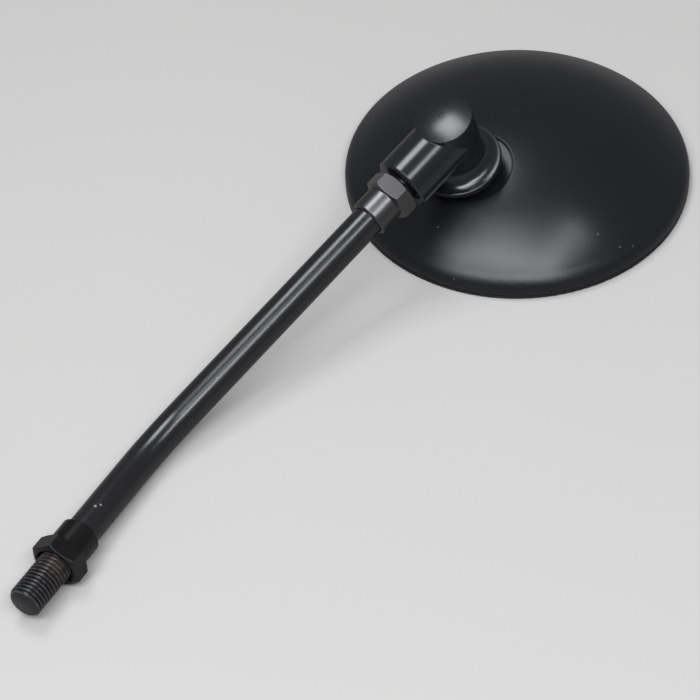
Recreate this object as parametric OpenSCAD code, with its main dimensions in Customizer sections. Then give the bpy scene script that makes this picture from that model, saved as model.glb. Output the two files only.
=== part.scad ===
// Round motorcycle mirror on a bent rod stem, with two collar lock nuts,
// a cast elbow and a spring-loaded ball joint between the elbow and the head.
// Stands as it is fitted: the stud points down, the glass faces -Y.
// The origin is on the stud axis, in the seat face of the lower lock nut.
// All sizes are in millimetres and all angles in degrees.

/* [Stem] */
// Outside diameter of the stud threads
thread_d = 10; // [8:0.5:12]
// Diameter of the plain rod
stem_d = 9.8; // [7.5:0.1:11]
// Length of stud below the lower lock nut
stud_l = 15; // [10:1:30]
// Height of the bend above the lower seat face
bend_z = 51.2; // [45:0.1:90]
// Angle of the bend
bend_angle = 24.2; // [10:0.2:40]
// Direction of the bend around the stud
bend_turn = 129; // [90:1:170]
// Radius of the bend on the rod's centreline
bend_r = 55; // [20:1:70]
// Distance from the bend to the elbow's upright axis
upper_l = 130; // [100:1:180]
// Width of the chamfers on the stud ends
stud_chamfer = 0.9; // [0.4:0.1:1.5]
// Depth of the relief in the thread at the lower lock nut's seat
relief_depth = 0.4; // [0.3:0.1:1]
// Length of that relief, inside the nut
relief_l = 2; // [1:0.5:4]

/* [Lock nuts] */
// Width across the flats of the hexagon
nut_af = 14; // [14:0.5:17]
// Length of the hexagon
hex_l = 5.8; // [4:0.2:8]
// Diameter of the collar
collar_d = 12; // [11.6:0.1:13.5]
// Length of the collar
collar_l = 7.7; // [4:0.1:12]
// Height of the chamfers on the hexagon's corners
hex_chamfer = 0.8; // [0.4:0.1:1.2]
// Turn of the lower nut's hexagon
lower_nut_turn = 23; // [0:1:59]
// Turn of the upper nut's hexagon
upper_nut_turn = 54; // [0:1:59]
// Bare thread between the upper nut and the elbow
nut_gap = 1.2; // [0.5:0.1:4]

/* [Elbow] */
// Diameter of the boss and of the upright
boss_d = 17.8; // [17:0.2:20]
// Distance from the upright axis to the boss's end face
boss_l = 22; // [19:0.5:26]
// Depth of the stem's bore in the boss
bore_depth = 15; // [10:0.5:16]
// Rise of the shallow domed cap
cap_rise = 1; // [0.6:0.1:3]
// Turn of the elbow about the stem
elbow_turn = -41; // [-90:1:0]
// Distance from the stem axis down to the ball centre
ball_drop = 12.9; // [12:0.1:15]
// Radius of the skirt around the upright's foot
skirt_r = 13.4; // [12.4:0.1:14]
// Thickness of the skirt's edge
skirt_t = 1.7; // [1.2:0.1:2]
// Distance from the ball centre down to the skirt's underside
skirt_drop = 1.8; // [1.4:0.1:2.2]
// Radius of the spherical foot
foot_r = 11.5; // [11.2:0.1:11.6]
// Chamfer on the boss's end
boss_chamfer = 0.6; // [0.3:0.1:1]

/* [Ball joint] */
// Height of the ball centre above the dome
ball_lift = 6.8; // [6.5:0.1:7.2]
// Thickness of the outer friction liner
liner_t = 0.8; // [0.6:0.1:0.9]
// Thickness of the dish in the housing
dish_t = 1.2; // [1:0.1:1.3]
// Thickness of the inner friction liner
inner_liner_t = 0.7; // [0.5:0.1:0.8]
// Angle from the dish axis to the liners' inner edge
liner_inner_angle = 25; // [24:0.5:28]
// Angle from the dish axis to the liners' outer edge
liner_outer_angle = 37; // [34:0.5:39]
// Radius of the hole in the dish
dish_hole_r = 5.5; // [5.4:0.1:5.7]
// Diameter of the tension bolt
bolt_d = 5; // [4:0.5:5]
// Depth of the bolt in the foot
bolt_depth = 9; // [7:0.5:9]
// Width across the flats of the bolt head
bolt_af = 8; // [7:0.5:9]
// Height of the bolt head
bolt_head_h = 2.6; // [2:0.1:3]
// Diameter of the spherical washer
ball_washer_d = 16.4; // [15:0.2:16.6]
// Wall of the spherical washer on its axis
ball_washer_t = 1.5; // [1:0.1:1.8]
// Outside diameter of the disc springs
disc_d = 12.5; // [11:0.5:14]
// Thickness of a disc spring
disc_t = 0.7; // [0.5:0.1:0.9]
// Free cone height of a disc spring
disc_cone = 0.4; // [0.3:0.1:0.6]
// Outside diameter of the plain washer
washer_d = 10; // [9:0.5:12]
// Thickness of the plain washer
washer_t = 0.8; // [0.6:0.1:1]

/* [Head] */
// Diameter of the head
head_d = 110; // [100:1:130]
// Height of the crown above the front edge
head_h = 27.2; // [26:0.2:30]
// Height of the straight side wall above the front edge
wall_h = 2.8; // [2.7:0.1:4]
// Radius of the shoulder between dome and wall
shoulder_r = 4; // [3.4:0.2:4.6]
// Wall of the housing
wall_t = 1.6; // [1.2:0.1:1.8]
// Angle between the elbow's upright and the head's axis
head_tilt = 16.2; // [14:0.2:20]
// Turn of the head about its own axis at the joint
head_turn = 4.2; // [-8:0.2:8]
// Distance from the head's axis to the ball centre
pivot_offset = 29; // [27:0.2:31]
// Radius of the recess around the ball joint
recess_r = 12; // [11.6:0.1:12.6]
// Depth of the recess's floor below the top of the dome under the ball
recess_depth = 2.2; // [1.8:0.1:2.2]
// Distance from the dish axis to the middle of the recess, towards the head's middle
recess_shift = 2.8; // [1.8:0.1:3]
// Distance from the dish axis to the middle of the recess, sideways
recess_side = 2; // [0:0.1:2.2]

/* [Bezel and glass] */
// Width of the bezel on the side wall
bezel_h = 2.4; // [2.2:0.1:2.6]
// Thickness of the bezel's front lip
lip_t = 1; // [0.8:0.1:1.2]
// Width of the bezel's front lip
lip_w = 4; // [3:0.2:6]
// Thickness of the bezel's side wall
bezel_t = 1.3; // [1:0.1:1.4]
// Depth of the groove around the bezel
groove_depth = 0.35; // [0.2:0.05:0.5]
// Width of the groove around the bezel
groove_w = 0.4; // [0.3:0.05:0.6]
// Thickness of the glass
glass_t = 2; // [1.8:0.1:2.2]
// Curve radius of the convex glass
glass_r = 1200; // [900:50:1600]
// Thickness of the rubber gasket
gasket_t = 0.65; // [0.5:0.05:0.7]
// Thickness of the foam backing pad
pad_t = 1; // [0.6:0.1:1.1]
// Width of the ledge that the gasket rests on
ledge_w = 3; // [2:0.2:4]

/* [Fits] */
// Clearance around the threads and between still pieces
fit_gap = 0.05; // [0.03:0.01:0.08]
// Gap between the spherical faces of the joint
seat_gap = 0.15; // [0.12:0.01:0.16]

/* [Hidden] */
$fn = 96;
black_paint = [0.06, 0.06, 0.065];
steel = [0.62, 0.62, 0.64];
nylon = [0.86, 0.85, 0.8];
rubber = [0.08, 0.08, 0.08];
far = 200;

// The threads end inside the nuts' collars
nut_l = hex_l + collar_l;
thread_end = nut_l - 1;
// The rod laps into the bend, which swells a little where it was bent
lap = 0.5;
bend_swell = 0.03;
bore_floor_gap = 0.5;
countersink = 0.9;
collar_chamfer = 0.5;
tangent_l = bend_r * tan(bend_angle / 2);
upper_nut_z = upper_l - boss_l - nut_gap;
bore_r = thread_d / 2 + fit_gap;
bore_end_z = upper_l - boss_l + bore_depth;
cap_r = (pow(boss_d / 2, 2) + pow(cap_rise, 2)) / (2 * cap_rise);
skirt_z = -ball_drop - skirt_drop;
skirt_round = 0.4;

// Radii of the nested spherical faces, from the foot outwards
liner_r = foot_r + seat_gap;
dish_r = liner_r + liner_t + seat_gap;
dish_back_r = dish_r + dish_t;
inner_liner_r = dish_back_r + seat_gap;
ball_washer_r = inner_liner_r + inner_liner_t + seat_gap;

// Stack on the bolt, measured down from the ball centre
bolt_hole_r = bolt_d / 2 + 3 * fit_gap;
ball_washer_z = ball_washer_r + ball_washer_t;
disc_h = disc_t + disc_cone;
washer_z = ball_washer_z + 2 * disc_h;
bolt_head_z = washer_z + washer_t;

// Heights in the head, measured from its front edge
head_r = head_d / 2;
shoulder_x = head_r - shoulder_r;
// The dome is the arc that runs from the crown into the shoulder
dome_rise = head_h - wall_h;
dome_r = (pow(shoulder_x, 2) + pow(dome_rise, 2) - pow(shoulder_r, 2)) / (2 * (dome_rise - shoulder_r));
dome_z = head_h - dome_r;
recess_floor_t = 1.2;

// The ball centre lies on the dome's normal
ball_z = dome_z + sqrt(pow(dome_r + ball_lift, 2) - pow(pivot_offset, 2));
dish_tilt = asin(pivot_offset / (dome_r + ball_lift));

// The housing's spigot stands inside the bezel, and the gasket inside the spigot
spigot_r = head_r - bezel_t - fit_gap;
spigot_t = 0.75;
spigot_z = lip_t + fit_gap;
gasket_r = spigot_r - spigot_t - fit_gap;
glass_edge_r = gasket_r - gasket_t - fit_gap;
glass_z = lip_t + gasket_t + 2 * fit_gap;
ledge_z = glass_z + glass_t + gasket_t + 2 * fit_gap;
ledge_t = 1.1;
lip_r = head_r - lip_w;
lip_round = 0.3;
bezel_round = 0.6;
gasket_inset = 0.4;
pad_r = lip_r - 2;
pad_z = glass_z + glass_t + fit_gap;
curve_steps = 16;

// Frame of the upper rod, with Z along it from the bend
module on_upper() {
    translate([0, 0, bend_z]) rotate([0, 0, bend_turn]) rotate([0, bend_angle, 0]) children();
}

// Frame of the elbow, with Z out of its cap and X along the boss towards the stem
module on_elbow() {
    on_upper() translate([0, 0, upper_l]) rotate([0, 0, elbow_turn]) rotate([0, 90, 0]) children();
}

// Frame of the bolt stack, with its origin at the ball centre
module on_ball() {
    on_elbow() translate([0, 0, -ball_drop]) children();
}

// Frame of the head, with its origin in the middle of the front edge and Z out of the back
module on_head() {
    on_ball() rotate([0, -head_tilt, 0]) rotate([0, 0, head_turn])
        translate([-pivot_offset, 0, -ball_z]) children();
}

// Frame of the dish, with its origin at the ball centre and Z along the dome's normal
module on_dish() {
    on_head() translate([pivot_offset, 0, ball_z]) rotate([0, dish_tilt, 0]) children();
}

// Threaded end of the rod, from z = 0 up to a chamfered tip
module stud(length) {
    cylinder(d = thread_d, h = length - stud_chamfer);
    translate([0, 0, length - stud_chamfer])
        cylinder(d1 = thread_d, d2 = thread_d - 2 * stud_chamfer, h = stud_chamfer);
}

module stem() {
    color(black_paint) {
        rotate([180, 0, 0]) stud(stud_l);
        translate([0, 0, -lap]) cylinder(d = thread_d - 2 * relief_depth, h = relief_l + 2 * lap);
        translate([0, 0, relief_l]) cylinder(d = thread_d, h = thread_end - relief_l);
        translate([0, 0, thread_end - lap])
            cylinder(d = stem_d, h = bend_z - tangent_l - thread_end + 2 * lap);
        rotate([0, 0, bend_turn]) translate([bend_r, 0, bend_z - tangent_l]) rotate([90, 0, 0])
            rotate([0, 0, 180 - bend_angle]) rotate_extrude(angle = bend_angle)
            translate([bend_r, 0]) circle(d = stem_d + 2 * bend_swell);
        on_upper() {
            translate([0, 0, tangent_l - lap])
                cylinder(d = stem_d, h = upper_nut_z - thread_end - tangent_l + 2 * lap);
            translate([0, 0, upper_nut_z - thread_end])
                stud(bore_end_z - upper_nut_z + thread_end - bore_floor_gap);
        }
    }
}

// Cone that cuts the corners of a hexagon at z = 0, two across for one up
module corner_cone(hex_r) {
    cylinder(r1 = hex_r - 2 * hex_chamfer, r2 = hex_r - 2 * hex_chamfer + 2 * hex_l, h = hex_l);
}

// Collar nut with its seat face at z = 0 and its collar above
module collar_nut(turn) {
    hex_r = nut_af / 2 / cos(30);
    difference() {
        union() {
            intersection() {
                rotate([0, 0, turn]) cylinder(r = hex_r, h = hex_l, $fn = 6);
                corner_cone(hex_r);
                translate([0, 0, hex_l]) rotate([180, 0, 0]) corner_cone(hex_r);
            }
            translate([0, 0, hex_l / 2]) cylinder(d = collar_d, h = nut_l - collar_chamfer - hex_l / 2);
            translate([0, 0, nut_l - collar_chamfer])
                cylinder(d1 = collar_d, d2 = collar_d - 2 * collar_chamfer, h = collar_chamfer);
        }
        translate([0, 0, -1]) cylinder(r = bore_r, h = nut_l + 2);
        cylinder(r1 = bore_r + countersink, r2 = bore_r, h = countersink);
    }
}

module lower_lock_nut() {
    color(black_paint) collar_nut(lower_nut_turn);
}

module upper_lock_nut() {
    color(black_paint) on_upper() translate([0, 0, upper_nut_z]) rotate([180, 0, 0])
        collar_nut(upper_nut_turn);
}

// Half outline of the elbow's upright, skirt and spherical foot
module upright_outline() {
    flare = skirt_r - skirt_round - boss_d / 2;
    intersection() {
        translate([0, boss_d / 2 + cap_rise - cap_r]) circle(cap_r, $fn = 360);
        translate([0, boss_d / 2]) square([boss_d / 2, cap_rise + 1]);
    }
    translate([0, skirt_z]) square([boss_d / 2, boss_d / 2 - skirt_z]);
    // A hollow flare runs out from the upright to the rounded edge of the skirt
    difference() {
        translate([0, skirt_z]) square([skirt_r - skirt_round, skirt_t + flare]);
        translate([skirt_r - skirt_round, skirt_z + skirt_t + flare]) circle(flare);
    }
    translate([0, skirt_z]) square([skirt_r, skirt_t - skirt_round]);
    translate([skirt_r - skirt_round, skirt_z + skirt_t - skirt_round]) circle(skirt_round, $fn = 32);
    intersection() {
        translate([0, -ball_drop]) circle(foot_r, $fn = 180);
        translate([0, -ball_drop - foot_r]) square([foot_r, foot_r - skirt_drop]);
    }
}

module elbow() {
    color(black_paint) on_elbow() difference() {
        union() {
            rotate_extrude() upright_outline();
            rotate([0, 90, 0]) cylinder(d = boss_d, h = boss_l - boss_chamfer);
            translate([boss_l - boss_chamfer, 0, 0]) rotate([0, 90, 0])
                cylinder(d1 = boss_d, d2 = boss_d - 2 * boss_chamfer, h = boss_chamfer);
        }
        translate([boss_l - bore_depth, 0, 0]) rotate([0, 90, 0]) cylinder(r = bore_r, h = far);
        translate([0, 0, -ball_drop - foot_r - 1]) cylinder(r = bolt_d / 2 + fit_gap, h = bolt_depth + 1);
    }
}

module tension_bolt() {
    color(steel) on_ball() {
        translate([0, 0, -bolt_head_z])
            cylinder(d = bolt_d, h = bolt_head_z - foot_r + bolt_depth - bore_floor_gap);
        translate([0, 0, -bolt_head_z - bolt_head_h])
            cylinder(d = bolt_af / cos(30), h = bolt_head_h, $fn = 6);
    }
}

// Zone of a spherical shell between two angles from the dish axis, below the ball centre
module liner(inner_r, thickness) {
    rotate_extrude() intersection() {
        difference() {
            circle(inner_r + thickness, $fn = 360);
            circle(inner_r, $fn = 360);
        }
        polygon([
            [0, 0],
            far * [sin(liner_inner_angle), -cos(liner_inner_angle)],
            far * [sin(liner_outer_angle), -cos(liner_outer_angle)],
        ]);
    }
}

module outer_liner() {
    color(nylon) on_dish() liner(liner_r, liner_t);
}

module inner_liner() {
    color(nylon) on_dish() liner(inner_liner_r, inner_liner_t);
}

// Turned washer whose upper face is hollowed to the joint's sphere
module ball_washer() {
    color(steel) on_ball() rotate_extrude() difference() {
        translate([bolt_hole_r, -ball_washer_z]) square([ball_washer_d / 2 - bolt_hole_r, ball_washer_z]);
        circle(ball_washer_r, $fn = 360);
    }
}

// Conical spring washer that stands on its outer edge
module disc_spring() {
    rotate_extrude() polygon([
        [bolt_hole_r, disc_cone],
        [disc_d / 2, 0],
        [disc_d / 2, disc_t],
        [bolt_hole_r, disc_h],
    ]);
}

module upper_disc_spring() {
    color(steel) on_ball() translate([0, 0, -ball_washer_z]) rotate([180, 0, 0]) disc_spring();
}

module lower_disc_spring() {
    color(steel) on_ball() translate([0, 0, -washer_z]) disc_spring();
}

module plain_washer() {
    color(steel) on_ball() translate([0, 0, -bolt_head_z]) difference() {
        cylinder(d = washer_d, h = washer_t);
        translate([0, 0, -1]) cylinder(r = bolt_hole_r, h = washer_t + 2);
    }
}

// Half section of the head's outer form, drawn in by an inset all round
module head_section(inset) {
    shoulder = [shoulder_x, wall_h];
    edge_way = [shoulder_x, wall_h - dome_z];
    translate([0, bezel_h]) square([head_r - inset, wall_h - bezel_h]);
    intersection() {
        translate(shoulder) circle(shoulder_r - inset);
        polygon([shoulder, shoulder + [far, 0], shoulder + far * edge_way]);
    }
    intersection() {
        translate([0, dome_z]) circle(dome_r - inset, $fn = 720);
        polygon([[0, bezel_h], [shoulder_x, bezel_h], shoulder, shoulder + far * edge_way, [0, far * far]]);
    }
}

// Half section of the housing: shell, ledge and spigot
module housing_section() {
    hollow_r = gasket_r + fit_gap;
    difference() {
        union() {
            head_section(0);
            translate([hollow_r, spigot_z]) square([spigot_t, bezel_h + lap - spigot_z]);
        }
        difference() {
            head_section(wall_t);
            translate([glass_edge_r - ledge_w, 0]) square([far, ledge_z + ledge_t]);
        }
        square([hollow_r, ledge_z]);
    }
}

module housing() {
    color(black_paint) difference() {
        union() {
            on_head() rotate_extrude($fn = 180) housing_section();
            intersection() {
                on_head() rotate_extrude($fn = 180) head_section(0);
                on_dish() union() {
                    sphere(dish_back_r, $fn = 180);
                    translate([-recess_shift, recess_side, -ball_lift - recess_depth - recess_floor_t])
                        cylinder(r = recess_r + recess_floor_t, h = recess_depth + recess_floor_t);
                }
            }
        }
        on_dish() {
            sphere(dish_r, $fn = 180);
            translate([-recess_shift, recess_side, -ball_lift - recess_depth]) cylinder(r = recess_r, h = far);
            translate([0, 0, -far]) cylinder(r = dish_hole_r, h = far);
        }
    }
}

module bezel() {
    color(black_paint) on_head() rotate_extrude($fn = 180) difference() {
        union() {
            translate([lip_r, lip_round]) square([lip_w - lip_round, lip_t - lip_round]);
            translate([lip_r + lip_round, 0]) square([lip_w - lip_round - bezel_round, lip_t]);
            translate([lip_r + lip_round, lip_round]) circle(lip_round, $fn = 32);
            translate([head_r - bezel_round, bezel_round]) circle(bezel_round, $fn = 32);
            translate([head_r - bezel_t, bezel_round]) square([bezel_t, bezel_h - fit_gap - bezel_round]);
        }
        translate([head_r - groove_depth, bezel_h / 2]) square([groove_depth + 1, groove_w]);
    }
}

// Points of a face curved like the glass, from the axis out to a radius
function bowl(radius, edge_z) = [
    for (i = [0 : curve_steps])
        let (x = radius * i / curve_steps)
        [x, edge_z - sqrt(pow(glass_r, 2) - pow(x, 2)) + sqrt(pow(glass_r, 2) - pow(glass_edge_r, 2))]
];

// Half section of a curved sheet between two such faces
module curved_sheet(radius, edge_z, thickness) {
    upper = bowl(radius, edge_z + thickness);
    polygon(concat(bowl(radius, edge_z), [for (i = [curve_steps : -1 : 0]) upper[i]]));
}

module glass() {
    color([0.75, 0.8, 0.84]) on_head() rotate_extrude($fn = 180)
        curved_sheet(glass_edge_r, glass_z, glass_t);
}

module rim_gasket() {
    color(rubber) on_head() rotate_extrude($fn = 180) difference() {
        translate([lip_r + gasket_inset, lip_t + fit_gap])
            square([gasket_r - lip_r - gasket_inset, ledge_z - lip_t - 2 * fit_gap]);
        translate([0, glass_z - fit_gap]) square([glass_edge_r + fit_gap, glass_t + 2 * fit_gap]);
    }
}

module backing_pad() {
    color([0.2, 0.2, 0.2]) on_head() rotate_extrude($fn = 180) curved_sheet(pad_r, pad_z, pad_t);
}

stem();
lower_lock_nut();
upper_lock_nut();
elbow();
tension_bolt();
outer_liner();
inner_liner();
ball_washer();
upper_disc_spring();
lower_disc_spring();
plain_washer();
housing();
bezel();
glass();
rim_gasket();
backing_pad();
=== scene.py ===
"""Looks, table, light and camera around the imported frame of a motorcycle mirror."""

import math

import bpy
import numpy as np
from mathutils import Matrix, Vector


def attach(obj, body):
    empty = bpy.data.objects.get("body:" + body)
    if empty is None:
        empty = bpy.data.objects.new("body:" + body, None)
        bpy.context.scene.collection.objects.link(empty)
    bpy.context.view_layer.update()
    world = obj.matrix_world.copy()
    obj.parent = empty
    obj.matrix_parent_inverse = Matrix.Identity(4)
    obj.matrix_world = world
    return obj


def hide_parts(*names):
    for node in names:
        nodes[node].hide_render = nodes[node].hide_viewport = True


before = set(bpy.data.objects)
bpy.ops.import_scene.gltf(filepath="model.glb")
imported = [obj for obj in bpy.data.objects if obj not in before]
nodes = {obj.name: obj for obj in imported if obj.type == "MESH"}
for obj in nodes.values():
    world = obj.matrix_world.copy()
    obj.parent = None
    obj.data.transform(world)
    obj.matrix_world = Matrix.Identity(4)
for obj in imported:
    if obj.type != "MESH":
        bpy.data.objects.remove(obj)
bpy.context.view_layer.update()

MM = 0.001

# The photograph's camera, fitted to the part, in the row frame: place in millimetres and two directions
CAMERA_AT = (-290.386, 518.448, -316.588)
CAMERA_RIGHT = (-0.868968, -0.026750, 0.494145)
CAMERA_UP = (0.339681, 0.693913, 0.634902)
IMAGE_PX = 700
FOCAL_PX = 2400
SENSOR_MM = 36
CLIP_START = 0.01
CLIP_END = 20

# Middle of the head's front edge and the head's axis and radius
HEAD_AT = Vector((-40.310, 1.550, 203.398)) * MM
HEAD_AXIS = Vector((0.001623, 0.999090, -0.042615)).normalized()
HEAD_R = 55 * MM

# The table lies against the head's front edge, square to the head's axis. These are its axes
# to the right of the photograph and away from the camera.
TABLE_RIGHT = Vector(CAMERA_RIGHT)
TABLE_RIGHT = (TABLE_RIGHT - TABLE_RIGHT.dot(HEAD_AXIS) * HEAD_AXIS).normalized()
TABLE_AWAY = HEAD_AXIS.cross(TABLE_RIGHT)

# Radii of the table's rings in metres, from the edge of its hole outwards, and the steps around it
TABLE_RINGS = (HEAD_R * 0.987, HEAD_R * 1.3, 0.2, 0.6, 2.5)
TABLE_STEPS = 192

# The table's two tones, and the share of it that the black paint doesn't mirror
TABLE_TONES = ((0.690, 0.669, 0.643, 1), (0.703, 0.682, 0.656, 1))
TABLE_DIM = 0.62
TABLE_ROUGHNESS = 0.6
TABLE_SHINE = 0.2

# Sizes that the stem repeats from part.scad, in millimetres
THREAD_R = 5.0
THREAD_PITCH = 1.25
THREAD_DEPTH = 0.767
STEM_R = 4.9
STUD_L = 15.0
STUD_CHAMFER = 0.9
THREAD_END = 12.5
BEND_Z = 51.2
BEND_ANGLE = math.radians(24.2)
BEND_TURN = math.radians(129)
BEND_R = 55.0
UPPER_THREAD_START = 94.3
UPPER_END = 122.5

# Places along the stem's axis: the ends of the bend, where the upper thread starts, and the top
TANGENT_L = BEND_R * math.tan(BEND_ANGLE / 2)
BEND_SKIP = 2 * TANGENT_L - BEND_R * BEND_ANGLE
ARC_START = BEND_Z - TANGENT_L
ARC_END = BEND_Z + TANGENT_L - BEND_SKIP
UPPER_START = BEND_Z + UPPER_THREAD_START - BEND_SKIP
STEM_TOP = BEND_Z + UPPER_END - BEND_SKIP

# Thread profile: half widths of crest and root's start in turns, and how round the flanks are.
# The thread fades into the rod over THREAD_FADE millimetres.
CREST_HALF = 0.07
ROOT_HALF = 0.36
FLANK_ROUND = 0.35
THREAD_FADE = 1.2

# Fineness of the stem's mesh
STEM_SIDES = 80
RINGS_A_TURN = 10
STRAIGHT_RINGS = 6
ARC_RINGS = 33
SHAFT_RINGS = 12
SHARP_ANGLE = math.radians(50)

# Chips and specks of the photograph: place in the row frame and radius, in millimetres
STEM_CHIPS = [
    ((-0.49, 4.87, 20.61), 0.42),
    ((-1.47, 4.66, 21.84), 0.32),
    ((-8.76, 12.33, 73.09), 0.2),
]
HEAD_SPECKS = [
    ((-35.55, 13.11, 158.93), 0.2),
    ((-80.02, 12.70, 179.51), 0.22),
    ((-86.78, 8.65, 181.40), 0.2),
    ((-89.66, 7.55, 184.75), 0.18),
    ((-46.33, 4.14, 149.17), 0.2),
]
ELBOW_CHIPS = [((-42.64, 28.31, 166.93), 0.35)]
NUT_SPECKS = [((-28.45, 36.02, 138.75), 0.2)]

# Middle of the elbow's cap in millimetres, the cap's axis, and the two distances from the middle,
# in metres, between which the axis gives way to the mesh's own normal
CAP_TOP = (-32.78, 50.80, 166.71)
CAP_AXIS = (0.0766, 0.9478, -0.3094)
CAP_EVEN = (0.0005, 0.0014)

# Distances from the head's axis between which the soft edge widens, and its width there, in metres
SHOULDER_ZONE = (0.0465, 0.0505)
SHOULDER_SOFT = 0.003
EDGE_SAMPLES = 6

# Scales of the noises, in steps a metre. A grain of one length is PEEL_SHARE of a step.
CLOUD_SCALE = 45.0
FINE_SCALE = 5200.0
DUST_SCALE = 2600.0
BLOTCH_SCALE = 900.0
STAIN_SCALE = 700.0
LINE_SCALE = 9000.0
SMEAR_SCALE = 60.0
CHIP_SCALE = 4000.0
STEM_CHIP_SCALE = 3200.0
WAVE_SCALE = 700.0
TABLE_SCALE = 6.0
PEEL_SHARE = 0.6

# Most of a noise's values lie between these two
NOISE_LOW = 0.3
NOISE_HIGH = 0.7

# Paint: values of the noise where dust shows, and its share
DUST_RANGE = (0.66, 0.78)
DUST_SHARE = 0.10
# Paint: what clouds, the fine grain and chips do to the roughness, and depths in metres
CLOUD_GLOSS = 0.03
FINE_GLOSS = 0.04
CHIP_GLOSS = 0.2
FINE_DEPTH = 0.0006 * MM
CHIP_DEPTH = 0.03 * MM

# Metal: values of the noise where stains show, their share, and the roughness off and on them
STAIN_RANGE = (0.35, 0.75)
STAIN_SHARE = 0.35
CLEAN_GLOSS = 0.06
STAIN_GLOSS = 0.08
LINE_DEPTH = 0.002 * MM

# Plastic: how dark the grain's low parts are, and its change of roughness
GRAIN_DARK = 0.75
GRAIN_GLOSS = 0.05

# Mirror: values of the noise where smears show, their share, and the roughness off and on them
SMEAR_RANGE = (0.3, 0.8)
SMEAR_SHARE = 0.25
SMEAR_GLOSS_RANGE = (0.35, 0.8)
MIRROR_GLOSS = (0.015, 0.07)

# Stem: depth share where the crest ends, values of the noise where wear shows, and the least wear
CREST_END = 0.3
WEAR_RANGE = (0.35, 0.6)
WEAR_LEAST = 0.15
# Stem: where rust fades in and out along the axis, depth shares and noise values for it, and the least
RUST_BELOW = (-5.8 * MM, -2.8 * MM)
RUST_ABOVE = (1.5 * MM, 0.5 * MM)
RUST_DEPTHS = (0.25, 0.8)
RUST_RANGE = (0.4, 0.6)
RUST_LEAST = 0.1
# Stem: roughness of the paint, what thread and rust add to it, how strongly it shines, and depths
STEM_GLOSS = (0.20, 0.26)
THREAD_GLOSS = 0.08
RUST_GLOSS = 0.4
STEM_SHINE = 0.8
STEM_CHIP_RAGGED = 0.9
WAVE_DEPTH = 0.003 * MM
STEM_FINE_DEPTH = 0.0008 * MM

# Colours
STEM_BLACK = (0.012, 0.012, 0.013, 1)
CAST_BLACK = (0.010, 0.011, 0.014, 1)
BEZEL_BLACK = (0.012, 0.012, 0.013, 1)
# The two lock nuts are one black nut coloured apart: the lower one darker as painted shade, the upper one
# lighter as a painted sheen
LOWER_NUT_SHADED_BLACK = (0.07, 0.07, 0.072, 1)
UPPER_NUT_SHEEN_BLACK = (0.17, 0.167, 0.172, 1)
DUST = (0.20, 0.20, 0.21, 1)
CHIP = (0.22, 0.22, 0.23, 1)
STEM_CHIP = (0.28, 0.28, 0.28, 1)
WORN_CREST = (0.085, 0.085, 0.087, 1)
RUST = (0.075, 0.038, 0.026, 1)
ZINC = (0.6, 0.6, 0.58, 1)
SPRING_STEEL = (0.32, 0.32, 0.34, 1)
STAIN = (0.28, 0.26, 0.22, 1)
SILVER = (0.86, 0.88, 0.88, 1)
SMEARED_SILVER = (0.78, 0.8, 0.81, 1)
NYLON = (0.8, 0.79, 0.74, 1)
RUBBER = (0.02, 0.02, 0.02, 1)
FOAM = (0.05, 0.05, 0.05, 1)
BLACK = (0, 0, 0, 1)

# Lamps over the table: azimuth and elevation in degrees and distance, then aim, size and power
COOL = (0.93, 0.96, 1.0)
HEAD_AIM = (-0.02, -0.03, 0.02)
ELBOW_AIM = (-0.06, -0.05, 0.02)
LAMPS = {
    "front_box": ((-103, 54, 1.1), HEAD_AIM, (1.05, 0.26), 6.6),
    "upper_box": ((-108, 66, 1.1), HEAD_AIM, (0.50, 0.30), 1.5),
    "side_box": ((-48, 57, 1.1), HEAD_AIM, (0.42, 0.24), 1.6),
    "top_box": ((143, 72, 1.0), ELBOW_AIM, (0.30, 0.34), 2.3),
}

# The lamp under the table that lights the glass: place, size and power
GLASS_LAMP_AT = (0.3, -0.5, -0.9)
GLASS_LAMP_SIZE = (0.7, 0.7)
GLASS_LAMP_POWER = 6.0
WHITE = (1, 1, 1)

# What rays from the camera see behind the table, and what all other rays see
BACKDROP = (0.82, 0.82, 0.82, 1)
WORLD_FILL = (0.16, 0.16, 0.163, 1)


# Camera and stage
def make_camera():
    """The photograph's camera."""
    right = Vector(CAMERA_RIGHT)
    up = Vector(CAMERA_UP)
    back = right.cross(up)
    turn = Matrix((right, up, back)).transposed().to_4x4()
    data = bpy.data.cameras.new("camera")
    data.sensor_width = SENSOR_MM
    data.lens = SENSOR_MM * FOCAL_PX / IMAGE_PX
    data.clip_start = CLIP_START
    data.clip_end = CLIP_END
    camera = bpy.data.objects.new("camera", data)
    camera.matrix_world = Matrix.Translation(Vector(CAMERA_AT) * MM) @ turn
    bpy.context.scene.collection.objects.link(camera)
    bpy.context.scene.camera = camera


def on_table(right, away, up):
    """Point in the row frame, from metres along the table's axes and from the head's middle."""
    return HEAD_AT + TABLE_RIGHT * right + TABLE_AWAY * away + HEAD_AXIS * up


def make_table():
    """Pale table with a hole that the head covers, so that the glass can be seen from below."""
    verts = []
    for radius in TABLE_RINGS:
        for k in range(TABLE_STEPS):
            a = 2 * math.pi * k / TABLE_STEPS
            verts.append(on_table(radius * math.cos(a), radius * math.sin(a), 0))
    faces = []
    for ring in range(len(TABLE_RINGS) - 1):
        for k in range(TABLE_STEPS):
            j = (k + 1) % TABLE_STEPS
            low = ring * TABLE_STEPS
            high = low + TABLE_STEPS
            faces.append((low + k, high + k, high + j, low + j))
    mesh = bpy.data.meshes.new("table")
    mesh.from_pydata(verts, [], faces)
    table = bpy.data.objects.new("table", mesh)
    bpy.context.scene.collection.objects.link(table)
    table.data.materials.append(table_material())


def spherical(azimuth, elevation, distance):
    """Right, away and up over the table for a direction in degrees."""
    a = math.radians(azimuth)
    e = math.radians(elevation)
    flat = distance * math.cos(e)
    return flat * math.cos(a), flat * math.sin(a), distance * math.sin(e)


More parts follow.
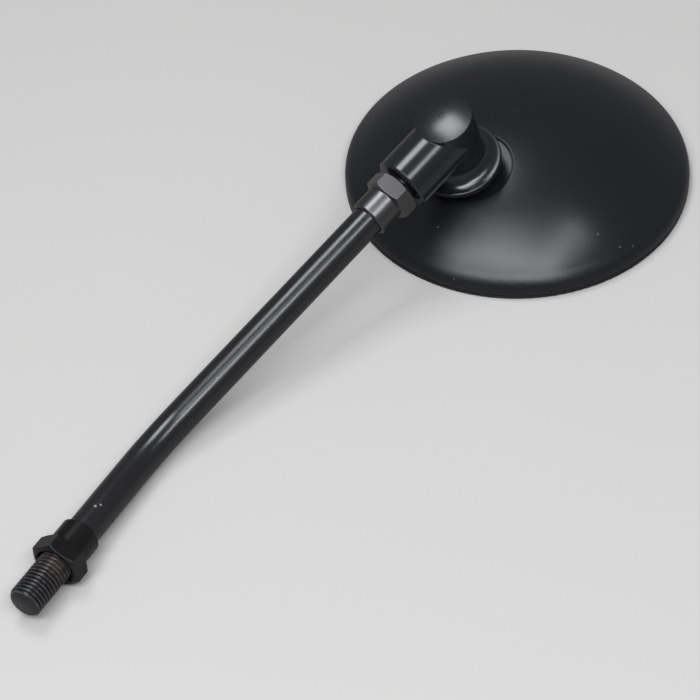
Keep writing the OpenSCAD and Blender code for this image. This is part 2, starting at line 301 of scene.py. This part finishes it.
def light(name, place, aim, size, power, color):
    """Soft lamp at a place over the table, aimed at another."""
    data = bpy.data.lights.new(name, "AREA")
    data.shape = "RECTANGLE"
    data.size, data.size_y = size
    data.energy = power
    data.color = color
    lamp = bpy.data.objects.new(name, data)
    at = on_table(*place)
    ahead = (on_table(*aim) - at).normalized()
    across = ahead.cross(HEAD_AXIS).normalized()
    turn = Matrix((across, across.cross(ahead), -ahead)).transposed().to_4x4()
    lamp.matrix_world = Matrix.Translation(at) @ turn
    bpy.context.scene.collection.objects.link(lamp)


def make_lamps():
    """The lamps over the table and the one under it."""
    for name, (direction, aim, size, power) in LAMPS.items():
        light(name, spherical(*direction), aim, size, power, COOL)
    light("glass_side", GLASS_LAMP_AT, (0, 0, 0), GLASS_LAMP_SIZE, GLASS_LAMP_POWER, WHITE)


def make_world():
    """Pale backdrop for the camera and a dim room for all other rays."""
    world = bpy.data.worlds.new("studio")
    bpy.context.scene.world = world
    world.use_nodes = True
    tree = world.node_tree
    background = tree.nodes["Background"]
    path = tree.nodes.new("ShaderNodeLightPath")
    mix = tree.nodes.new("ShaderNodeMix")
    mix.data_type = "RGBA"
    tree.links.new(path.outputs["Is Camera Ray"], mix.inputs["Factor"])
    mix.inputs["A"].default_value = WORLD_FILL
    mix.inputs["B"].default_value = BACKDROP
    tree.links.new(mix.outputs["Result"], background.inputs["Color"])


# Node helpers
class Nodes:
    """Short calls for building one material."""

    def __init__(self, name):
        self.material = bpy.data.materials.new(name)
        self.material.use_nodes = True
        self.tree = self.material.node_tree
        self.shader = self.tree.nodes["Principled BSDF"]
        self.out = self.tree.nodes["Material Output"]

    def add(self, kind, **values):
        """New node, with values for its inputs or its settings."""
        node = self.tree.nodes.new(kind)
        for key, value in values.items():
            if key in node.inputs:
                self.put(value, node.inputs[key])
            else:
                setattr(node, key, value)
        return node

    def put(self, value, socket):
        """Links an output to the socket, or sets the socket to a number."""
        if isinstance(value, bpy.types.NodeSocket):
            self.tree.links.new(value, socket)
        else:
            socket.default_value = value

    def set(self, **values):
        """Gives inputs of the Principled shader their values, by names with _ for a space."""
        for key, value in values.items():
            self.put(value, self.shader.inputs[key.replace("_", " ")])

    def math(self, operation, a, b=0.0, c=0.0):
        node = self.add("ShaderNodeMath", operation=operation)
        for value, socket in zip((a, b, c), node.inputs):
            self.put(value, socket)
        return node.outputs[0]

    def vector_math(self, operation, a, b=(0, 0, 0)):
        node = self.add("ShaderNodeVectorMath", operation=operation)
        self.put(a, node.inputs[0])
        self.put(b, node.inputs[1])
        return node.outputs["Value" if operation in ("DISTANCE", "LENGTH") else "Vector"]

    def place(self):
        """Point in the row frame, which moves with the piece."""
        return self.add("ShaderNodeTexCoord").outputs["Object"]

    def noise(self, scale, detail=3.0, roughness=0.5):
        node = self.add("ShaderNodeTexNoise", Scale=scale, Detail=detail, Roughness=roughness)
        self.put(self.place(), node.inputs["Vector"])
        return node.outputs["Fac"]

    def ramp(self, value, low, high, out_low=0.0, out_high=1.0):
        node = self.add("ShaderNodeMapRange", Value=value)
        node.inputs["From Min"].default_value = low
        node.inputs["From Max"].default_value = high
        node.inputs["To Min"].default_value = out_low
        node.inputs["To Max"].default_value = out_high
        return node.outputs["Result"]

    def spread(self, noise, out_low=0.0, out_high=1.0):
        """A noise, spread between two values."""
        return self.ramp(noise, NOISE_LOW, NOISE_HIGH, out_low, out_high)

    def mix(self, factor, a, b, kind="RGBA"):
        node = self.add("ShaderNodeMix", data_type=kind)
        self.put(factor, node.inputs["Factor"])
        self.put(a, node.inputs["A"])
        self.put(b, node.inputs["B"])
        return node.outputs["Result"]

    def bump(self, height, distance, normal=None):
        node = self.add("ShaderNodeBump", Height=height, Distance=distance)
        if normal is not None:
            self.put(normal, node.inputs["Normal"])
        return node.outputs["Normal"]

    def soft_edges(self, radius):
        """Normal with the piece's edges rounded over a radius in metres."""
        node = self.add("ShaderNodeBevel", Radius=radius)
        node.samples = EDGE_SAMPLES
        return node.outputs["Normal"]

    def distance(self, spot):
        """Metres from a point of the row frame, given in millimetres."""
        return self.vector_math("DISTANCE", self.place(), Vector(spot) * MM)

    def from_head_axis(self):
        """Metres from the head's axis."""
        to_point = self.vector_math("SUBTRACT", self.place(), HEAD_AT)
        return self.vector_math("LENGTH", self.vector_math("CROSS_PRODUCT", to_point, HEAD_AXIS))

    def near(self, spot, radius, ragged, grain):
        """1 within a ragged spot around a point of the row frame, 0 away from it."""
        edge = self.math("MULTIPLY_ADD", self.noise(grain, 2.0), ragged * radius * MM, self.distance(spot))
        return self.math("LESS_THAN", edge, radius * MM * (1 + ragged / 2))

    def near_any(self, spots, ragged=0.5, grain=CHIP_SCALE):
        """1 within any of the spots, 0 away from them all."""
        mask = 0.0
        for spot, radius in spots:
            mask = self.math("MAXIMUM", mask, self.near(spot, radius, ragged, grain))
        return mask


# Normals of the painted pieces: each takes the nodes and the softness of the edges in metres
def plain_normal(n, soft):
    """The same soft edges all over."""
    return n.soft_edges(soft)


def head_normal(n, soft):
    """Soft edges that widen at the head's shoulder."""
    return n.soft_edges(n.ramp(n.from_head_axis(), *SHOULDER_ZONE, soft, SHOULDER_SOFT))


def elbow_normal(n, soft):
    """Soft edges, but the cap's own axis around its middle, where thin triangles meet."""
    axis = n.add("ShaderNodeVectorTransform", vector_type="NORMAL", convert_from="OBJECT", convert_to="WORLD")
    n.put(CAP_AXIS, axis.inputs["Vector"])
    away = n.ramp(n.distance(CAP_TOP), *CAP_EVEN)
    return n.mix(away, axis.outputs["Vector"], n.soft_edges(soft), "VECTOR")


# Materials
def paint(name, color, roughness, edge_mm, grain_mm=0.9, grain_depth=0.004, chips=(),
          shine=0.5, metallic=0.0, normal_of=plain_normal):
    """Satin black paint: a faint orange peel, cloudy gloss, dust and chips."""
    n = Nodes(name)
    peel = n.noise(PEEL_SHARE / (grain_mm * MM), 2.0)
    fine = n.noise(FINE_SCALE, 2.0)
    dust = n.ramp(n.noise(DUST_SCALE, 3.0, 0.6), *DUST_RANGE)
    tone = n.mix(n.math("MULTIPLY", dust, DUST_SHARE), color, DUST)
    gloss = n.spread(n.noise(CLOUD_SCALE, 4.0), roughness - CLOUD_GLOSS, roughness + CLOUD_GLOSS)
    gloss = n.math("MULTIPLY_ADD", fine, FINE_GLOSS, gloss)
    normal = n.bump(peel, grain_depth * MM, normal_of(n, edge_mm * MM))
    normal = n.bump(fine, FINE_DEPTH, normal)
    if chips:
        chipped = n.near_any(chips)
        tone = n.mix(chipped, tone, CHIP)
        gloss = n.math("MULTIPLY_ADD", chipped, CHIP_GLOSS, gloss)
        normal = n.bump(chipped, -CHIP_DEPTH, normal)
    n.set(Base_Color=tone, Roughness=gloss, Normal=normal, Specular_IOR_Level=shine, Metallic=metallic)
    return n.material


def metal(name, color, roughness):
    """Plated steel with turning marks and small stains."""
    n = Nodes(name)
    stain = n.noise(STAIN_SCALE, 4.0)
    tone = n.mix(n.ramp(stain, *STAIN_RANGE, 0.0, STAIN_SHARE), color, STAIN)
    gloss = n.spread(stain, roughness - CLEAN_GLOSS, roughness + STAIN_GLOSS)
    normal = n.bump(n.noise(LINE_SCALE, 2.0), LINE_DEPTH)
    n.set(Base_Color=tone, Roughness=gloss, Normal=normal, Metallic=1.0)
    return n.material


def soft_plastic(name, color, roughness, grain_scale, grain_depth):
    """Moulded plastic, rubber or foam with an even grain."""
    n = Nodes(name)
    grain = n.noise(grain_scale)
    dark = tuple(c * GRAIN_DARK for c in color[:3]) + (1,)
    tone = n.mix(n.spread(grain), dark, color)
    gloss = n.spread(grain, roughness - GRAIN_GLOSS, roughness + GRAIN_GLOSS)
    n.set(Base_Color=tone, Roughness=gloss, Normal=n.bump(grain, grain_depth * MM))
    return n.material


def mirror_material():
    """Silvered glass with faint smears."""
    n = Nodes("mirror_glass")
    smear = n.noise(SMEAR_SCALE, 5.0, 0.6)
    tone = n.mix(n.ramp(smear, *SMEAR_RANGE, 0.0, SMEAR_SHARE), SILVER, SMEARED_SILVER)
    gloss = n.ramp(smear, *SMEAR_GLOSS_RANGE, *MIRROR_GLOSS)
    n.set(Base_Color=tone, Roughness=gloss, Metallic=1.0)
    return n.material


def stem_material():
    """Black stem paint, thin on the worn thread crests, and rusty in the roots next to the lower nut."""
    n = Nodes("stem_paint")
    depth = n.add("ShaderNodeAttribute", attribute_name="thread_depth").outputs["Fac"]
    thread = n.add("ShaderNodeAttribute", attribute_name="threaded").outputs["Fac"]
    blotch = n.noise(BLOTCH_SCALE, 4.0)
    crest = n.math("MULTIPLY", thread, n.ramp(depth, CREST_END, 0.0))
    wear = n.math("MULTIPLY", crest, n.ramp(blotch, *WEAR_RANGE, WEAR_LEAST, 1.0))
    tone = n.mix(wear, STEM_BLACK, WORN_CREST)
    split = n.add("ShaderNodeSeparateXYZ", Vector=n.place())
    height = split.outputs["Z"]
    beside_nut = n.math("MULTIPLY", n.ramp(height, *RUST_BELOW), n.ramp(height, *RUST_ABOVE))
    rust = n.math("MULTIPLY", n.ramp(depth, *RUST_DEPTHS), beside_nut)
    rust = n.math("MULTIPLY", rust, n.ramp(blotch, *RUST_RANGE, RUST_LEAST, 1.0))
    tone = n.mix(rust, tone, RUST)
    tone = n.mix(n.near_any(STEM_CHIPS, STEM_CHIP_RAGGED, STEM_CHIP_SCALE), tone, STEM_CHIP)
    gloss = n.spread(n.noise(CLOUD_SCALE, 4.0), *STEM_GLOSS)
    gloss = n.math("MULTIPLY_ADD", thread, THREAD_GLOSS, gloss)
    gloss = n.math("MULTIPLY_ADD", rust, RUST_GLOSS, gloss)
    normal = n.bump(n.noise(WAVE_SCALE, 2.0), WAVE_DEPTH)
    normal = n.bump(n.noise(FINE_SCALE, 2.0), STEM_FINE_DEPTH, normal)
    n.set(Base_Color=tone, Roughness=gloss, Normal=normal, Specular_IOR_Level=STEM_SHINE)
    return n.material


def table_material():
    """Plain pale table, seen from above only and mirrored dimly."""
    n = Nodes("table")
    tone = n.mix(n.spread(n.noise(TABLE_SCALE)), *TABLE_TONES)
    mirrored = n.add("ShaderNodeLightPath").outputs["Is Glossy Ray"]
    tone = n.mix(n.math("MULTIPLY", mirrored, TABLE_DIM), tone, BLACK)
    n.set(Base_Color=tone, Roughness=TABLE_ROUGHNESS, Specular_IOR_Level=TABLE_SHINE)
    clear = n.add("ShaderNodeBsdfTransparent")
    blend = n.add("ShaderNodeMixShader")
    n.put(n.add("ShaderNodeNewGeometry").outputs["Backfacing"], blend.inputs[0])
    n.put(n.shader.outputs[0], blend.inputs[1])
    n.put(clear.outputs[0], blend.inputs[2])
    n.put(blend.outputs[0], n.out.inputs["Surface"])
    return n.material


# Stem
def stem_frame(s):
    """Centre and frame of the stem at a distance s from the lower seat face along its axis."""
    side = Matrix.Rotation(BEND_TURN, 3, "Z")
    if s <= ARC_START:
        return side @ Vector((0, 0, s)), side @ Matrix.Rotation(0.0, 3, "Y")
    angle = min((s - ARC_START) / BEND_R, BEND_ANGLE)
    at = Vector((BEND_R * (1 - math.cos(angle)), 0, ARC_START + BEND_R * math.sin(angle)))
    past = s - ARC_START - BEND_R * angle
    at += Vector((math.sin(angle), 0, math.cos(angle))) * past
    return side @ at, side @ Matrix.Rotation(angle, 3, "Y")


def clamp(value):
    """The value, kept between 0 and 1."""
    return min(max(value, 0.0), 1.0)


def thread_radius(turns):
    """Radius and depth share of an M10 thread at a place counted in turns."""
    away = abs(turns % 1.0 - 0.5)
    share = clamp((away - CREST_HALF) / (ROOT_HALF - CREST_HALF))
    smooth = share * share * (3 - 2 * share)
    share = smooth * FLANK_ROUND + share * (1 - FLANK_ROUND)
    return THREAD_R - THREAD_DEPTH * share, share


def stem_places():
    """Distances of all rings along the axis: close on the threads and just past them, wide elsewhere."""
    step = THREAD_PITCH / RINGS_A_TURN
    settle = 2 * step
    lower = np.arange(-STUD_L, THREAD_END + settle, step)
    straight = np.linspace(THREAD_END + settle, ARC_START, STRAIGHT_RINGS)
    arc = np.linspace(ARC_START, ARC_END, ARC_RINGS)[1:]
    shaft = np.linspace(ARC_END, UPPER_START - settle, SHAFT_RINGS)[1:]
    upper = np.arange(UPPER_START - step, STEM_TOP, step)
    return [*lower, *straight, *arc, *shaft, *upper, STEM_TOP]


def stem_points(places):
    """Points of the rings and of the two end centres, with thread depth and share of thread for each."""
    verts = []
    depths = []
    threaded = []
    for s in places:
        at, turn = stem_frame(s)
        share = max(clamp((THREAD_END - s) / THREAD_FADE), clamp((s - UPPER_START) / THREAD_FADE))
        chamfer_r = THREAD_R - STUD_CHAMFER + min(s + STUD_L, STEM_TOP - s)
        for k in range(STEM_SIDES):
            a = 2 * math.pi * k / STEM_SIDES
            radius, depth = thread_radius(s / THREAD_PITCH - k / STEM_SIDES)
            radius = min(STEM_R + (radius - STEM_R) * share, chamfer_r)
            verts.append((at + turn @ Vector((radius * math.cos(a), radius * math.sin(a), 0))) * MM)
            depths.append(depth)
            threaded.append(share)
    for s in (-STUD_L, STEM_TOP):
        verts.append(stem_frame(s)[0] * MM)
        depths.append(0.5)
        threaded.append(0.5)
    return verts, depths, threaded


def stem_faces(rings):
    """Quads between the rings, and a fan at each end around the two points after the last ring."""
    faces = []
    for ring in range(rings - 1):
        low = ring * STEM_SIDES
        high = low + STEM_SIDES
        for k in range(STEM_SIDES):
            j = (k + 1) % STEM_SIDES
            faces.append((low + k, low + j, high + j, high + k))
    last = (rings - 1) * STEM_SIDES
    bottom = rings * STEM_SIDES
    faces += [((k + 1) % STEM_SIDES, k, bottom) for k in range(STEM_SIDES)]
    faces += [(last + k, last + (k + 1) % STEM_SIDES, bottom + 1) for k in range(STEM_SIDES)]
    return faces


def make_stem():
    """The stem with its two threads cut, in place of the CAD stem."""
    places = stem_places()
    verts, depths, threaded = stem_points(places)
    mesh = bpy.data.meshes.new("stem_threaded")
    mesh.from_pydata(verts, [], stem_faces(len(places)))
    for name, values in (("thread_depth", depths), ("threaded", threaded)):
        layer = mesh.attributes.new(name, "FLOAT", "POINT")
        layer.data.foreach_set("value", values)
    mesh.shade_smooth()
    mesh.set_sharp_from_angle(angle=SHARP_ANGLE)
    stem = bpy.data.objects.new("stem_threaded", mesh)
    bpy.context.scene.collection.objects.link(stem)
    stem.data.materials.append(stem_material())
    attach(stem, "stem")
    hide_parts("stem")


# CAD nodes
def dress_nodes():
    """Gives every CAD node that stays in the scene its material."""
    steel = metal("zinc_steel", ZINC, roughness=0.28)
    spring = metal("spring_steel", SPRING_STEEL, roughness=0.35)
    nylon = soft_plastic("nylon", NYLON, roughness=0.5, grain_scale=1500.0, grain_depth=0.01)
    looks = {
        # Both lock nuts are the same nut; their colours differ only as painted shade on the lower one and a
        # painted sheen on the upper one
        "lower_lock_nut": paint("lower_nut_painted_shade", LOWER_NUT_SHADED_BLACK, roughness=0.22, edge_mm=0.25,
                                metallic=1.0),
        "upper_lock_nut": paint("upper_nut_painted_sheen", UPPER_NUT_SHEEN_BLACK, roughness=0.3, edge_mm=0.25,
                                chips=NUT_SPECKS, metallic=1.0),
        "elbow": paint("cast_black", CAST_BLACK, roughness=0.2, edge_mm=0.4, chips=ELBOW_CHIPS,
                       shine=0.8, normal_of=elbow_normal),
        "housing": paint("head_black", CAST_BLACK, roughness=0.26, edge_mm=0.9, grain_mm=1.1,
                         grain_depth=0.003, chips=HEAD_SPECKS, normal_of=head_normal),
        "bezel": paint("bezel_black", BEZEL_BLACK, roughness=0.38, edge_mm=0.2, grain_mm=0.7,
                       grain_depth=0.003),
        "tension_bolt": steel,
        "ball_washer": steel,
        "plain_washer": steel,
        "upper_disc_spring": spring,
        "lower_disc_spring": spring,
        "outer_liner": nylon,
        "inner_liner": nylon,
        "glass": mirror_material(),
        "rim_gasket": soft_plastic("rubber", RUBBER, roughness=0.6, grain_scale=2500.0, grain_depth=0.01),
        "backing_pad": soft_plastic("foam", FOAM, roughness=0.9, grain_scale=1800.0, grain_depth=0.08),
    }
    for name, material in looks.items():
        slots = nodes[name].data.materials
        slots.clear()
        slots.append(material)


make_camera()
make_table()
make_world()
make_lamps()
make_stem()
dress_nodes()

bpy.context.scene.view_settings.view_transform = "Standard"
